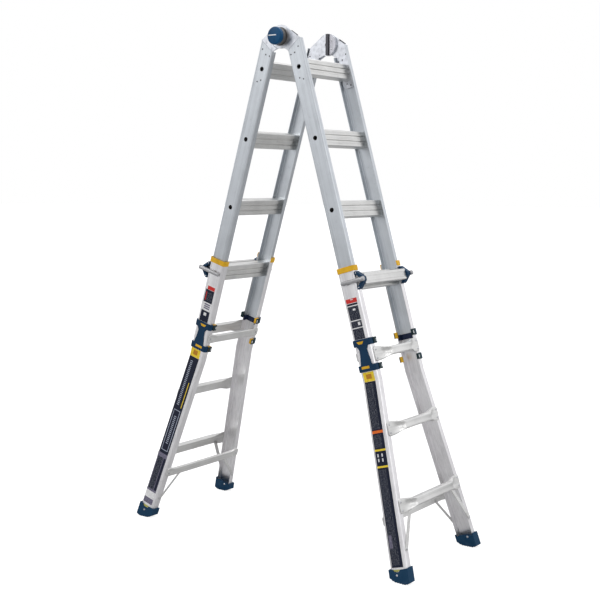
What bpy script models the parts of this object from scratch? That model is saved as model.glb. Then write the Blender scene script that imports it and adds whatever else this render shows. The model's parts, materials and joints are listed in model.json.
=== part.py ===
"""Multi position ladder: two telescoping halves joined at the top by a pair of locking hinges.

Each half is drawn in its own frame, whose origin is the hinge axis. There, n runs square to the
rails towards the climbing side, y runs across the ladder and s runs down along the rails. An empty
on the hinge axis leans each half out to its working angle. Metres, +Z up, floor at Z = 0.
"""
import math

import bmesh
import bpy
from mathutils import Matrix, Vector

# Stance
HINGE_Z = 2.155
LEAN = math.radians(16.5)
FLARE = math.tan(math.radians(8.0))

# Along the rails, from the hinge axis down
RUNG_PITCH = 0.3048
FIRST_RUNG = 0.150
INNER_RUNGS = 4
FRONT_RUNGS = 3
LOCK_LEVEL = FIRST_RUNG + 3 * RUNG_PITCH
TOP_OUTER_FLANGE = 0.036
TOP_INNER_FLANGE = 0.070
INNER_END = 1.330
OUTER_TOP = 1.0035
BEND = 1.475
OUTER_END = 2.232

# Rail sections
RAIL_N = 0.057
GAP = 0.0003
INNER_HALF_DEPTH = 0.036
INNER_WEB_Y = 0.177
INNER_WALL = 0.0025
INNER_FLANGE = 0.024
INNER_CORNER = 0.006
OUTER_HALF_DEPTH = 0.0397
OUTER_WEB_Y = 0.181
OUTER_WALL = 0.0025
OUTER_FLANGE = 0.030
OUTER_CORNER = 0.008

# Hinges
HUB_R = 0.048
HUB_CLEAR_R = 0.050
PLATE_OUT = (0.1692, 0.1742)
PLATE_IN = (0.1609, 0.1689)
PLATE_EDGES = (0.0272, 0.0868)
PLATE_END = 0.216
CHEEK_EDGE = 0.0355
CHEEK_LIFT = 0.0012
PIVOT_R = 0.0115
SHAFT_R = 0.0065
HOUSING_R = 0.0345
HOUSING_OUT = 0.2035
KNOB_R = 0.0365
KNOB_OUT = 0.2215
LOCK_BAR = (0.0140, 0.0920, 0.0070)
LOCK_BAR_SHIFT = 0.0040

# Rungs and bars
RUNG_HEIGHT = 0.070
RUNG_DEPTH = 0.034
RUNG_GROOVE = 0.003
TUBE_WALL = 0.0022
LOCK_HOLE_R = 0.010
LOCK_SLOT_R = 0.0105
FRONT_TUBE = (0.037, 0.030)
FRONT_END = (0.060, 0.008)
TOP_BAR = (0.046, 0.022)
TOP_BAR_N = 0.048
TOP_BAR_HALF = 0.1577
BACK_BAR = (0.036, 0.011)
BACK_BARS = {"upper": FIRST_RUNG + 4 * RUNG_PITCH, "lower": 2.027}

# Plastic pieces and locks
CAP = (1.000, 1.0225, 0.0035)
GUIDE_BANDS = ((1.2995, 1.3275), (1.4055, 1.4325))
GUIDE_WALL = 0.0055
GUIDE_WEB = 0.004
GUIDE_WAIST = (0.019, 0.028)
CHEVRON_Y = (0.158, 0.182)
CHEVRON_HALF = 0.0375
CHEVRON_TIP = 0.079
LEVER_Y = (0.1845, 0.1925)
LEVER_N = (-0.0300, 0.0880)
LEVER_R = 0.0085
LEVER_PIVOT_N = 0.071
LEVER_PIN_R = 0.007
LEVER_TIP_Y = 0.1774
FOOT_HALF_DEPTH = 0.0447
FOOT_WALL = 0.0060
FOOT_TOP = 2.209

# Which way across, in each half's own frame, its near and far sides lie
SIDES = {"right": (("near", -1), ("far", 1)), "left": (("near", 1), ("far", -1))}
ALUMINIUM = (0.74, 0.75, 0.77)
WEB_GREY = (0.62, 0.63, 0.66)
NAVY = (0.030, 0.085, 0.170)
AMBER = (0.78, 0.48, 0.05)


def clear_scene():
    for old in list(bpy.data.objects):
        bpy.data.objects.remove(old, do_unlink=True)


def material(name, colour, roughness, metallic):
    made = bpy.data.materials.new(name)
    made.use_nodes = True
    shader = made.node_tree.nodes["Principled BSDF"]
    shader.inputs["Base Color"].default_value = (*colour, 1.0)
    shader.inputs["Roughness"].default_value = roughness
    shader.inputs["Metallic"].default_value = metallic
    made.diffuse_color = (*colour, 1.0)
    return made


def place(name, mesh_source, half, finish):
    """Makes an object from a bmesh drawn in the half's own frame."""
    bmesh.ops.recalc_face_normals(mesh_source, faces=mesh_source.faces)
    mesh = bpy.data.meshes.new(name)
    mesh_source.to_mesh(mesh)
    mesh_source.free()
    mesh.shade_smooth()
    mesh.set_sharp_from_angle(angle=math.radians(35))
    mesh.materials.append(finish)
    made = bpy.data.objects.new(name, mesh)
    bpy.context.scene.collection.objects.link(made)
    made.parent = half
    return made


def hide(helper):
    helper.hide_render = True
    helper.display_type = "WIRE"
    return helper


def combine(target, helper, operation):
    change = target.modifiers.new(operation.title(), "BOOLEAN")
    change.operation = operation
    change.solver = "EXACT"
    change.object = hide(helper)


def at(n, y, s):
    """A point n out from the rails' centre line, y across and s down from the hinge axis."""
    return Vector((RAIL_N + n, y, -s))


def flare(s):
    return max(0.0, s - BEND) * FLARE


def floor_s(n):
    """The distance down the rails at which the floor lies, n out from the rails' centre line."""
    return (HINGE_Z + (RAIL_N + n) * math.sin(LEAN)) / math.cos(LEAN)


def arc(centre, radius, first, last, steps):
    """Points round a centre. An angle of 0 points along the second coordinate, 90 along the first."""
    angles = [math.radians(first + (last - first) * i / steps) for i in range(steps + 1)]
    return [(centre[0] + radius * math.sin(a), centre[1] + radius * math.cos(a)) for a in angles]


def skin(bm, rings):
    """Side faces between successive rings of equal length. Returns the rings' vertices."""
    loops = [[bm.verts.new(point) for point in ring] for ring in rings]
    for low, high in zip(loops, loops[1:]):
        for i in range(len(low)):
            j = (i + 1) % len(low)
            bm.faces.new((low[i], low[j], high[j], high[i]))
    return loops


def loft(bm, rings):
    loops = skin(bm, rings)
    bm.faces.new(loops[0])
    bm.faces.new(loops[-1])


def hollow_loft(bm, outer, inner):
    """A tube between two sets of rings of equal length, open at both ends."""
    outside, inside = skin(bm, outer), skin(bm, inner)
    for end in (0, -1):
        for i in range(len(outside[end])):
            j = (i + 1) % len(outside[end])
            bm.faces.new((outside[end][i], outside[end][j], inside[end][j], inside[end][i]))


def turned(bm, profile, side, steps):
    """Turns a closed (radius, distance across) profile about the hinge axis."""
    rings = []
    for i in range(steps):
        a = 2 * math.pi * i / steps
        rings.append([(r * math.sin(a), side * y, r * math.cos(a)) for r, y in profile])
    loops = skin(bm, rings + [rings[0]])
    bmesh.ops.remove_doubles(bm, verts=loops[0] + loops[-1], dist=1e-6)


def slab(bm, outline, low, high, side):
    """An outline of (n, s) points, n from the rails' centre line, drawn out between two depths across."""
    loft(bm, [[at(n, side * y, s) for n, s in outline] for y in (low, high)])


def peg(bm, n, s, radius, low, high, side, steps=16):
    slab(bm, arc((n, s), radius, 0, 360 - 360 / steps, steps - 1), low, high, side)


def channel(half_depth, web_y, flange, wall, corner, wall_inside=None):
    """The closed outline of a C channel as (n, u) points, u across, its flanges pointing inwards.

    wall_inside, where it differs from wall, is the flanges' thickness.
    """
    thick = wall_inside or wall
    inner_corner = max(corner - wall, 0.001)
    outside = arc((-half_depth + corner, web_y - corner), corner, -90, 0, 3)
    outside += arc((half_depth - corner, web_y - corner), corner, 0, 90, 3)
    deep, web = half_depth - thick, web_y - wall
    inside = arc((deep - inner_corner, web - inner_corner), inner_corner, 90, 0, 3)
    inside += arc((-deep + inner_corner, web - inner_corner), inner_corner, 0, -90, 3)
    edge = web_y - flange
    ends = [(half_depth, edge), (deep, edge)]
    return [(-half_depth, edge), *outside, *ends, *inside, (-deep, edge)]


INNER_SECTION = channel(INNER_HALF_DEPTH, INNER_WEB_Y, INNER_FLANGE, INNER_WALL, INNER_CORNER)
OUTER_SECTION = channel(OUTER_HALF_DEPTH, OUTER_WEB_Y, OUTER_FLANGE, OUTER_WALL, OUTER_CORNER)


def section_ring(section, side, s):
    return [at(n, side * (u + flare(s)), s) for n, u in section]


def rail_top(n):
    """The inner rails' slanting top, high at the climbing side and low at the back."""
    share = (INNER_HALF_DEPTH - n) / (2 * INNER_HALF_DEPTH)
    return TOP_OUTER_FLANGE + share * (TOP_INNER_FLANGE - TOP_OUTER_FLANGE)


def lock_cutter(name, half, side, levels, radius, depth):
    bm = bmesh.new()
    for s in levels:
        peg(bm, 0.0, s, radius, *depth, side)
    return place(name, bm, half, bpy.data.materials["cutter"])


def rung_levels():
    return [FIRST_RUNG + i * RUNG_PITCH for i in range(INNER_RUNGS)]


def inner_rail(name, half, side, finish):
    bm = bmesh.new()
    top = [at(n, side * u, rail_top(n)) for n, u in INNER_SECTION]
    loft(bm, [top, section_ring(INNER_SECTION, side, INNER_END)])
    rail = place(name, bm, half, finish)
    depth = (INNER_WEB_Y - 0.008, INNER_WEB_Y + 0.004)
    combine(rail, lock_cutter(f"{name}_cutter", half, side, rung_levels(), LOCK_HOLE_R, depth), "DIFFERENCE")


def ribbed_outline(wall=0.0):
    """A rung's section as (n, s) points: three ribs on each face, with two grooves between them."""
    high, deep = RUNG_HEIGHT / 2, RUNG_DEPTH / 2
    if wall:
        levels = (high - wall, 0.031, 0.015, 0.0135, 0.0095, 0.008)
        face = [(deep - RUNG_GROOVE - wall, s) for s in levels]
    else:
        low = deep - RUNG_GROOVE
        face = [(deep - 0.004, high), (deep, 0.031), (deep, 0.015), (low, 0.0135), (low, 0.0095), (deep, 0.008)]
    front = face + [(n, -s) for n, s in reversed(face)]
    return front + [(-n, -s) for n, s in front]


def inner_rung(name, half, level, half_length, finish):
    bm = bmesh.new()
    rings = []
    for outline in (ribbed_outline(), ribbed_outline(TUBE_WALL)):
        rings.append([[at(n, y, level + s) for n, s in outline] for y in (-half_length, half_length)])
    hollow_loft(bm, *rings)
    place(name, bm, half, finish)


def hub_point(radius, angle):
    a = math.radians(angle)
    return (radius * math.sin(a) - RAIL_N, radius * math.cos(a))


def hub_arc(radius, first, last, steps):
    return [hub_point(radius, first + (last - first) * i / steps) for i in range(steps + 1)]


def neck_tangent():
    """The angle at which the necks' edge, drawn up from the climbing-side flange, touches the hub."""
    x, s = RAIL_N + CHEEK_EDGE, rail_top(CHEEK_EDGE) - CHEEK_LIFT
    return math.atan2(x, s) + math.acos(HUB_R / math.hypot(x, s))


def hub_outline():
    return hub_arc(HUB_R, 363.6, math.degrees(neck_tangent()), 22)


def neck_start():
    """The left half's neck, which goes round the right's disc and clears its neck in a straight ladder."""
    tangent = neck_tangent()
    clear = HUB_R + 2 * GAP
    last = math.pi - tangent - math.acos(clear / HUB_CLEAR_R)
    x = (HUB_R + clear) / (2 * math.sin(tangent))
    s = (HUB_R - clear) / (2 * math.cos(tangent))
    return hub_arc(HUB_CLEAR_R, 3.6, math.degrees(last), 6) + [(x - RAIL_N, s)]


def tail_outline():
    """The hinge plates' lower part, which lies between the rail's flanges."""
    low, high = (edge - RAIL_N for edge in PLATE_EDGES)
    end, nip = PLATE_END, 0.012
    start = TOP_INNER_FLANGE - 0.004
    down = [(high, TOP_OUTER_FLANGE), (high, end - nip), (high - nip, end)]
    return down + [(low + nip, end), (low, end - nip), (low, start)]


def disc_plate(bm, side, low, high):
    slab(bm, hub_outline() + tail_outline(), low, high, side)


def cheek(outline_start, bm, side, low, high):
    """The hinge's neck in the plane of the rail's web, which ends at the web's slanting top."""
    neck = [(n, rail_top(n) - CHEEK_LIFT) for n in (CHEEK_EDGE, -CHEEK_EDGE)]
    slab(bm, outline_start + neck, low, high, side)


def bore_cutter(name, half, side):
    """Opens a plate for the pivot and for the first rung's lock pin."""
    bm = bmesh.new()
    peg(bm, -RAIL_N, 0.0, PIVOT_R + GAP, 0.155, 0.182, side, 20)
    peg(bm, 0.0, FIRST_RUNG, LOCK_HOLE_R, 0.155, 0.182, side)
    return place(name, bm, half, bpy.data.materials["cutter"])


def outer_hinge_plate(name, half, side, finish):
    """The plate whose hub disc is flush with the rail's web."""
    bm = bmesh.new()
    disc_plate(bm, side, *PLATE_OUT)
    plate = place(name, bm, half, finish)
    neck = bmesh.new()
    cheek(hub_outline(), neck, side, PLATE_OUT[1] - 0.002, INNER_WEB_Y)
    combine(plate, place(f"{name}_cheek", neck, half, finish), "UNION")
    combine(plate, bore_cutter(f"{name}_cutter", half, side), "DIFFERENCE")


def inner_hinge_plate(name, half, side, finish):
    """The plate whose hub disc lies inside the other's. Its neck goes round the outer disc."""
    bm = bmesh.new()
    disc_plate(bm, side, *PLATE_IN)
    plate = place(name, bm, half, finish)
    packing, neck = bmesh.new(), bmesh.new()
    slab(packing, neck_start() + tail_outline(), PLATE_IN[1] - 0.002, PLATE_OUT[1], side)
    cheek(neck_start(), neck, side, PLATE_OUT[1] - 0.002, INNER_WEB_Y)
    combine(plate, place(f"{name}_packing", packing, half, finish), "UNION")
    combine(plate, place(f"{name}_cheek", neck, half, finish), "UNION")
    combine(plate, bore_cutter(f"{name}_cutter", half, side), "DIFFERENCE")


def inner_section(tag, half, finishes, outer_hub):
    """One fixed-length half: rails, rungs, hinge plates and what is fastened to them."""
    plate = outer_hinge_plate if outer_hub else inner_hinge_plate
    for where, side in SIDES[tag]:
        inner_rail(f"inner_{tag}_rail_{where}", half, side, finishes["rail"])
        plate(f"hinge_{tag}_plate_{where}", half, side, finishes["steel"])
    for i, level in enumerate(rung_levels()):
        plate_face = PLATE_OUT[0] if outer_hub else PLATE_IN[0]
        half_length = (plate_face if i == 0 else INNER_WEB_Y - INNER_WALL) - GAP
        inner_rung(f"inner_{tag}_rung_{i + 1}", half, level, half_length, finishes["rung"])


def hinge_housing(name, half, side, finish):
    """The spring housing outside each hinge, with the hollow pivot that holds both discs."""
    wall, end = 0.003, PLATE_IN[0] - GAP
    out, face = HOUSING_OUT, INNER_WEB_Y + GAP
    bore = SHAFT_R + GAP
    profile = [(bore, out), (HOUSING_R, out), (HOUSING_R, face), (HOUSING_R - wall, face)]
    profile += [(HOUSING_R - wall, out - wall), (PIVOT_R, out - wall), (PIVOT_R, end), (bore, end)]
    bm = bmesh.new()
    turned(bm, profile, side, 24)
    place(name, bm, half, finish)


def hinge_knob(name, half, side, finish):
    """A push cap that slides over the housing."""
    skirt, crown = HOUSING_OUT - 0.001, KNOB_OUT - 0.0075
    bore = HOUSING_R + 0.0005
    profile = [(bore, skirt), (KNOB_R, skirt), (KNOB_R, KNOB_OUT - 0.007), (KNOB_R - 0.002, KNOB_OUT - 0.003)]
    profile += [(KNOB_R - 0.007, KNOB_OUT), (0.004, KNOB_OUT), (0.004, crown), (bore, crown)]
    bm = bmesh.new()
    turned(bm, profile, side, 24)
    place(name, bm, half, finish)


def upright(x, drop):
    """The (n, s) of a point x ahead of the hinge axis and drop below it, in the A-frame stance."""
    cos, sin = math.cos(LEAN), math.sin(LEAN)
    return x * cos - drop * sin - RAIL_N, x * sin + drop * cos


def hinge_lock(name, half, side, finish):
    """The upright bar behind the hub discs, on the shaft that the knob pushes."""
    width, length, thick = LOCK_BAR
    back = PLATE_IN[0] - 0.0012
    bm = bmesh.new()
    left, right = LOCK_BAR_SHIFT - width / 2, LOCK_BAR_SHIFT + width / 2
    corners = [(left, -length / 2), (right, -length / 2), (right, length / 2), (left, length / 2)]
    slab(bm, [upright(x, drop) for x, drop in corners], back - thick, back, side)
    bar = place(name, bm, half, finish)
    shaft = bmesh.new()
    peg(shaft, -RAIL_N, 0.0, SHAFT_R, back - 0.003, KNOB_OUT - 0.0075 - GAP, side)
    combine(bar, place(f"{name}_shaft", shaft, half, finish), "UNION")


def hinge_hardware(half, finishes):
    for where, side in SIDES["right"]:
        hinge_housing(f"hinge_housing_{where}", half, side, finishes["zinc"])
        hinge_knob(f"hinge_knob_{where}", half, side, finishes["knob"])
        hinge_lock(f"hinge_lock_bar_{where}", half, side, finishes["steel"])


def outer_rail(name, half, side, finish):
    bm = bmesh.new()
    loft(bm, [section_ring(OUTER_SECTION, side, s) for s in (OUTER_TOP, BEND, OUTER_END)])
    rail = place(name, bm, half, finish)
    depth = (OUTER_WEB_Y - 0.008, OUTER_WEB_Y + 0.004)
    combine(rail, lock_cutter(f"{name}_cutter", half, side, [LOCK_LEVEL], LOCK_SLOT_R, depth), "DIFFERENCE")


def tube_ring(level, y, height, depth, front, wall, sign=1):
    """One cross-section of a bar that lies on a flange: a box with its two outward corners cut."""
    high, low_n, high_n = height / 2 - wall, front + wall, front + depth - wall
    cut = min(0.006, depth / 3)
    points = [(low_n, -high), (high_n - cut, -high), (high_n, -high + cut)]
    points += [(high_n, high - cut), (high_n - cut, high), (low_n, high)]
    return [at(sign * n, y, level + s) for n, s in points]


def front_rung(name, half, level, finish):
    """A tube pressed flat and wide at both ends, where it is riveted to the front flanges."""
    end = OUTER_WEB_Y + flare(level) - 0.003
    shape = ((0.000, FRONT_END), (0.034, FRONT_END), (0.066, (0.044, 0.024)), (0.090, FRONT_TUBE))
    stations = [(-end + inset, size) for inset, size in shape]
    stations += [(-y, size) for y, size in reversed(stations)]
    front = OUTER_HALF_DEPTH + GAP
    bm = bmesh.new()
    rings = []
    for wall in (0.0, TUBE_WALL):
        rings.append([tube_ring(level, y, *size, front, wall) for y, size in stations])
    hollow_loft(bm, *rings)
    place(name, bm, half, finish)


def top_bar(name, half, finish):
    bm = bmesh.new()
    rings = []
    for wall in (0.0, TUBE_WALL):
        ends = (-TOP_BAR_HALF, TOP_BAR_HALF)
        rings.append([tube_ring(LOCK_LEVEL, y, *TOP_BAR, TOP_BAR_N, wall) for y in ends])
    hollow_loft(bm, *rings)
    place(name, bm, half, finish)


def back_bar(name, half, level, finish):
    end = OUTER_WEB_Y + flare(level) - 0.006
    back = OUTER_HALF_DEPTH + GAP
    bm = bmesh.new()
    rings = []
    for wall in (0.0, TUBE_WALL):
        rings.append([tube_ring(level, y, *BACK_BAR, back, wall, -1) for y in (-end, end)])
    hollow_loft(bm, *rings)
    place(name, bm, half, finish)


def collar(bm, side, low, high, wall, web, reach, lip=0.0):
    """A band round the outside of an outer rail, with a lip over the rail's end where lip is given."""
    half_depth = OUTER_HALF_DEPTH + GAP + wall
    web_y = OUTER_WEB_Y + GAP + web
    flange = reach + web + GAP
    band = channel(half_depth, web_y, flange, web, OUTER_CORNER + web, wall)
    stations = [(band, low), (band, high)]
    if lip:
        over = channel(half_depth, web_y, flange, web + OUTER_WALL, OUTER_CORNER + web, wall + OUTER_WALL)
        stations = [(over, low), (over, low + lip), (band, low + lip), (band, high)]
    loft(bm, [section_ring(section, side, s) for section, s in stations])


def end_cap(name, half, side, finish):
    low, high, wall = CAP
    bm = bmesh.new()
    collar(bm, side, low, high, wall, wall, OUTER_FLANGE, OUTER_TOP - low - GAP)
    place(name, bm, half, finish)


def guide(name, half, side, finish):
    """Two bands round an outer rail, joined on the web by a tapering waist."""
    (top, first), (second, bottom) = GUIDE_BANDS
    narrow, wide = GUIDE_WAIST
    low = OUTER_WEB_Y + GAP
    waist = [(-narrow, first - 0.004), (narrow, first - 0.004), (wide, second + 0.004), (-wide, second + 0.004)]
    bm = bmesh.new()
    slab(bm, waist, low, low + GUIDE_WEB - 0.001, side)
    made = place(name, bm, half, finish)
    for i, band in enumerate(GUIDE_BANDS):
        ring = bmesh.new()
        collar(ring, side, *band, GUIDE_WALL, GUIDE_WEB, 0.018)
        combine(made, place(f"{name}_band_{i + 1}", ring, half, finish), "UNION")


def foot(name, half, side, finish):
    """A rubber shoe round a rail's end. Its sole is level with the floor, and rises towards both ends."""
    bm, pocket = bmesh.new(), bmesh.new()
    deep = FOOT_HALF_DEPTH
    top = [(-deep, FOOT_TOP), (-0.015, FOOT_TOP + 0.003), (0.015, FOOT_TOP + 0.003), (deep, FOOT_TOP)]
    rise = [(deep, 0.011), (deep - 0.007, 0.006), (deep - 0.017, 0.002), (deep - 0.027, 0.0)]
    rise += [(-n, up) for n, up in reversed(rise)]
    sole = [(n, floor_s(n) - up) for n, up in rise]
    outside = OUTER_WEB_Y + FOOT_WALL
    inside = OUTER_WEB_Y - OUTER_FLANGE - FOOT_WALL
    loft(bm, [[at(n, side * (u + flare(s)), s) for n, s in top + sole] for u in (inside, outside)])
    clear = OUTER_HALF_DEPTH + GAP
    depth = (OUTER_WEB_Y - OUTER_FLANGE - GAP, OUTER_WEB_Y + GAP)
    box = [(-clear, FOOT_TOP - 0.05), (clear, FOOT_TOP - 0.05), (clear, OUTER_END + GAP), (-clear, OUTER_END + GAP)]
    loft(pocket, [[at(n, side * (u + flare(s)), s) for n, s in box] for u in depth])
    made = place(name, bm, half, finish)
    combine(made, place(f"{name}_pocket", pocket, half, finish), "DIFFERENCE")


def chevron(name, half, side, finish):
    """A bracket that stands off the front flange and holds the top bar and the lock lever."""
    face, reach, tip, thick = OUTER_HALF_DEPTH + GAP, CHEVRON_HALF, 0.009, 0.014
    upper = [(face, -reach), (0.050, -reach), (CHEVRON_TIP, -tip)]
    inner = [(face, reach - thick), (CHEVRON_TIP - 0.017, tip - 0.004)]
    outline = upper + [(n, -s) for n, s in reversed(upper)] + inner + [(n, -s) for n, s in reversed(inner)]
    bm = bmesh.new()
    slab(bm, [(n, LOCK_LEVEL + s) for n, s in outline], *CHEVRON_Y, side)
    place(name, bm, half, finish)


def lock_lever(name, half, side, finish):
    """A rocking lever whose pin reaches through the outer rail's web."""
    low, high = LEVER_N
    r = LEVER_R
    outline = arc((high - r, LOCK_LEVEL), r, 0, 180, 6) + arc((low + r, LOCK_LEVEL), r, 180, 360, 6)
    bm = bmesh.new()
    slab(bm, outline, *LEVER_Y, side)
    lever = place(name, bm, half, finish)
    pin = bmesh.new()
    peg(pin, 0.0, LOCK_LEVEL, LEVER_PIN_R, LEVER_TIP_Y, LEVER_Y[0] + 0.002, side, 12)
    combine(lever, place(f"{name}_pin", pin, half, finish), "UNION")
    pivot = at(LEVER_PIVOT_N, side * (LEVER_Y[0] + LEVER_Y[1]) / 2, LOCK_LEVEL)
    set_origin(lever, pivot)


def set_origin(made, point):
    """Moves an object's origin to a point of its half's frame, and leaves its shape where it is."""
    made.data.transform(Matrix.Translation(-point))
    made.location = point


def outer_section(tag, half, finishes):
    """One telescoping half: flared rails, the rungs and bars across them, feet, guides and locks."""
    for where, side in SIDES[tag]:
        outer_rail(f"outer_{tag}_rail_{where}", half, side, finishes["rail"])
        end_cap(f"outer_{tag}_end_cap_{where}", half, side, finishes["amber"])
        guide(f"outer_{tag}_guide_{where}", half, side, finishes["navy"])
        foot(f"outer_{tag}_foot_{where}", half, side, finishes["rubber"])
        chevron(f"outer_{tag}_chevron_{where}", half, side, finishes["navy"])
        lock_lever(f"lock_lever_{tag}_{where}", half, side, finishes["zinc"])
    for i in range(FRONT_RUNGS):
        level = FIRST_RUNG + (4 + i) * RUNG_PITCH
        front_rung(f"outer_{tag}_front_rung_{i + 1}", half, level, finishes["rung"])
    for where, level in BACK_BARS.items():
        back_bar(f"outer_{tag}_back_bar_{where}", half, level, finishes["rung"])
    top_bar(f"outer_{tag}_top_bar", half, finishes["rung"])


def half_frame(name, turn):
    """An empty on the hinge axis. The turn about Z faces the half, and the lean tips it out."""
    empty = bpy.data.objects.new(name, None)
    bpy.context.scene.collection.objects.link(empty)
    lean = Matrix.Rotation(-LEAN, 4, "Y")
    empty.matrix_world = Matrix.Translation((0, 0, HINGE_Z)) @ Matrix.Rotation(turn, 4, "Z") @ lean
    return empty


def main():
    clear_scene()
    material("cutter", (1, 0, 0), 0.5, 0.0)
    finishes = {
        "rail": material("mill_aluminium_rail", WEB_GREY, 0.38, 1.0),
        "rung": material("mill_aluminium_rung", ALUMINIUM, 0.34, 1.0),
        "steel": material("plated_steel", (0.66, 0.67, 0.69), 0.32, 1.0),
        "zinc": material("grey_zinc", (0.42, 0.42, 0.41), 0.45, 0.8),
        "navy": material("navy_plastic", NAVY, 0.40, 0.0),
        "knob": material("blue_knob_plastic", (0.035, 0.13, 0.25), 0.32, 0.0),
        "amber": material("amber_plastic", AMBER, 0.40, 0.0),
        "rubber": material("navy_rubber", (0.028, 0.09, 0.15), 0.55, 0.0),
    }
    for tag, turn in (("right", 0.0), ("left", math.pi)):
        half = half_frame(f"{tag}_half_on_hinge_axis", turn)
        inner_section(tag, half, finishes, tag == "right")
        outer_section(tag, half, finishes)
        if tag == "right":
            hinge_hardware(half, finishes)


main()
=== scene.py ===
"""Looks for a multi position ladder that stands in its A-frame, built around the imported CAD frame.

Each half is drawn in its own rail space. There, n runs square to the rails towards the climbing
side, from the rails' centre line; y runs out from the middle of the ladder, and s runs down along
the rails from the hinge axis. Metres, +Z up, floor at Z = 0.
"""
import json
import math

import bmesh
import bpy
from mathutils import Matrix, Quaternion, Vector


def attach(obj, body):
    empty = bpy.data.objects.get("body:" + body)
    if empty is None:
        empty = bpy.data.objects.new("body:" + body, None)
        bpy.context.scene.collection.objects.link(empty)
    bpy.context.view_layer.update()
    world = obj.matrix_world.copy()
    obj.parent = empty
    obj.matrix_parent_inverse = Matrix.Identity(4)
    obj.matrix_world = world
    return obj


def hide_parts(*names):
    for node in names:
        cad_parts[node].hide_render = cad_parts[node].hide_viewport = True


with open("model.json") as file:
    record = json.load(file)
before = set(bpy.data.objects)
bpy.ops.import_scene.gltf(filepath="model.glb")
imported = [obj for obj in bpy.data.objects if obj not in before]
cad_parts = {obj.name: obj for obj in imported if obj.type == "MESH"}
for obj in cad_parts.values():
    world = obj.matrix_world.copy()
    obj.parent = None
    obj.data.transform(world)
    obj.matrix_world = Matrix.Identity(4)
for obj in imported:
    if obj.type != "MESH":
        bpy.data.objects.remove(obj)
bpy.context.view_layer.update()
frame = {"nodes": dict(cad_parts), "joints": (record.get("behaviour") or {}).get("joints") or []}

# The stance, from the frame's joints
JOINTS = {joint["name"]: joint for joint in frame["joints"]}
HINGE_Z = JOINTS["fold"]["pos_m"][2]
RAIL_UP = JOINTS["extend_right"]["axis"]
LEAN = math.atan2(-RAIL_UP[0], RAIL_UP[2])
SIN, COS = math.sin(LEAN), math.cos(LEAN)

# Rail space, as the frame has it
RAIL_N = 0.057
BEND = 1.475
FLARE = math.tan(math.radians(8.0))
RUNG_PITCH = 0.3048
FIRST_RUNG = 0.150
LOCK_LEVEL = FIRST_RUNG + 3 * RUNG_PITCH
OUTER_END = 2.232
HALVES = {"right": 1, "left": -1}
SIDES = {"near": -1, "far": 1}
EACH = [(half, side) for half in HALVES for side in SIDES]

# Sections
GAP = 0.0003
INNER = {"half_depth": 0.036, "web": 0.177, "flange": 0.024, "wall": 0.0025, "corner": 0.006}
OUTER = {"half_depth": 0.0397, "web": 0.181, "flange": 0.030, "wall": 0.0025, "corner": 0.008}
GROOVE = (0.0022, 0.0009)


# Materials

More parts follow.
